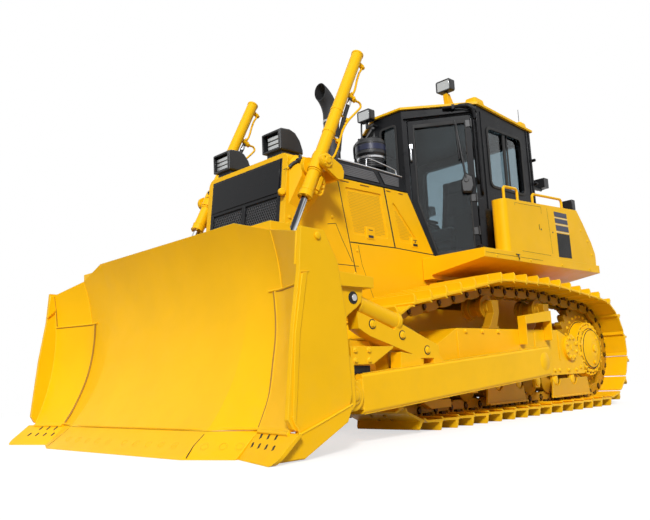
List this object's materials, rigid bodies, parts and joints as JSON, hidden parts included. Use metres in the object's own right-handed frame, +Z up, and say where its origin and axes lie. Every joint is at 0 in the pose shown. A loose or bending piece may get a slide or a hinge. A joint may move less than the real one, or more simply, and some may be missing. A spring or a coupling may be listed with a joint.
{
  "type": "bulldozer",
  "caption": "Track-type bulldozer with a sigma blade on outside push arms, two lift cylinders, a six-sided cab and gull-wing engine doors.",
  "frame": {"origin": "on the ground, under the middle of the machine's overall box", "axes": "+X to the machine's left, the blade faces -Y, +Z up"},
  "size_m": [3.406, 5.49, 3.336],
  "materials": {
    "yellow": "satin enamel",
    "black": "satin black",
    "glass": "tinted",
    "chrome": "polished",
    "seat": "woven",
    "trim": "moulded",
    "iron": "bare",
    "lamp": "black housing",
    "hose": "matt"
  },
  "bodies": {
    "root": {"air_precleaner": "trim", "cab_floor": "yellow", "cab_frame": "black", "cab_roof": "yellow", "cab_windows": "glass", "carrier_rollers": "yellow", "control_consoles": "trim", "drawbar": "yellow", "engine": "iron", "equalizer_bar": "yellow", "exhaust_stack": "black", "fenders": "yellow", "final_drives": "yellow", "fuel_tank": "yellow", "grille_mask": "black", "handrails": "yellow", "headlamps": "lamp", "hood_sides": "yellow", "hood_top": "black", "idlers": "yellow", "main_frame": "yellow", "operator_seat": "seat", "pivot_shafts": "yellow", "radiator": "iron", "radiator_guard": "yellow", "roller_guards": "yellow", "side_boxes": "yellow", "sprockets": "yellow", "steps": "yellow", "track_frames": "yellow", "track_left": "yellow", "track_right": "yellow", "track_rollers": "yellow", "work_lights": "lamp"},
    "blade": {"moldboard": "yellow", "blade_frame": "yellow", "blade_ribs": "yellow", "blade_ears": "yellow", "cutting_edge": "yellow", "end_bits": "yellow", "push_arms": "yellow", "tilt_cylinder": "yellow", "pitch_brace": "yellow"},
    "lift_tube_left": {"lift_cylinder_left": "yellow", "lift_hose_left": "hose"},
    "lift_rod_left": {"lift_rod_left": "chrome"},
    "cab_door_left": {"cab_door_left": "black", "door_glass_left": "glass"},
    "engine_door_front_left": {"engine_door_front_left": "yellow"},
    "engine_door_rear_left": {"engine_door_rear_left": "yellow"},
    "lift_tube_right": {"lift_cylinder_right": "yellow", "lift_hose_right": "hose"},
    "lift_rod_right": {"lift_rod_right": "chrome"},
    "cab_door_right": {"cab_door_right": "black", "door_glass_right": "glass"},
    "engine_door_front_right": {"engine_door_front_right": "yellow"},
    "engine_door_rear_right": {"engine_door_rear_right": "yellow"}
  },
  "joints": [
    {"name": "blade_lift", "type": "hinge", "parent": "root", "child": "blade", "pos_m": [0, 0.48, 0.463], "axis": [-1, 0, 0], "range_deg": [-8, 20.4]},
    {"name": "lift_swing_left", "type": "hinge", "parent": "root", "child": "lift_tube_left", "pos_m": [0.708, -1.362, 2.04], "axis": [-1, 0, 0], "range_deg": [-5, 12.5]},
    {"name": "lift_stroke_left", "type": "slide", "parent": "lift_tube_left", "child": "lift_rod_left", "axis": [0, -0.4527, -0.8916], "range_m": [-0.87, 0.345]},
    {"name": "lift_swing_right", "type": "hinge", "parent": "root", "child": "lift_tube_right", "pos_m": [-0.708, -1.362, 2.04], "axis": [-1, 0, 0], "range_deg": [-5, 12.5]},
    {"name": "lift_stroke_right", "type": "slide", "parent": "lift_tube_right", "child": "lift_rod_right", "axis": [0, -0.4527, -0.8916], "range_m": [-0.87, 0.345]},
    {"name": "cab_door_left_swing", "type": "hinge", "parent": "root", "child": "cab_door_left", "pos_m": [0.75178, 0.74716, 2.2], "axis": [0, 0, -1], "range_deg": [-62, 0]},
    {"name": "cab_door_right_swing", "type": "hinge", "parent": "root", "child": "cab_door_right", "pos_m": [-0.75178, 0.74716, 2.2], "axis": [0, 0, 1], "range_deg": [-62, 0]},
    {"name": "engine_door_front_left_lift", "type": "hinge", "parent": "root", "child": "engine_door_front_left", "pos_m": [0.506, -0.4, 2.06], "axis": [0, -1, 0], "range_deg": [0, 75]},
    {"name": "engine_door_rear_left_lift", "type": "hinge", "parent": "root", "child": "engine_door_rear_left", "pos_m": [0.506, -0.4, 2.06], "axis": [0, -1, 0], "range_deg": [0, 75]},
    {"name": "engine_door_front_right_lift", "type": "hinge", "parent": "root", "child": "engine_door_front_right", "pos_m": [-0.506, -0.4, 2.06], "axis": [0, 1, 0], "range_deg": [0, 75]},
    {"name": "engine_door_rear_right_lift", "type": "hinge", "parent": "root", "child": "engine_door_rear_right", "pos_m": [-0.506, -0.4, 2.06], "axis": [0, 1, 0], "range_deg": [0, 75]}
  ],
  "couplings": [
    {"joint": "lift_swing_left", "follows": "blade_lift", "ratio": 0.5933},
    {"joint": "lift_stroke_left", "follows": "blade_lift", "m_per_rad": -2.3916},
    {"joint": "lift_swing_right", "follows": "blade_lift", "ratio": 0.5933},
    {"joint": "lift_stroke_right", "follows": "blade_lift", "m_per_rad": -2.3916}
  ]
}
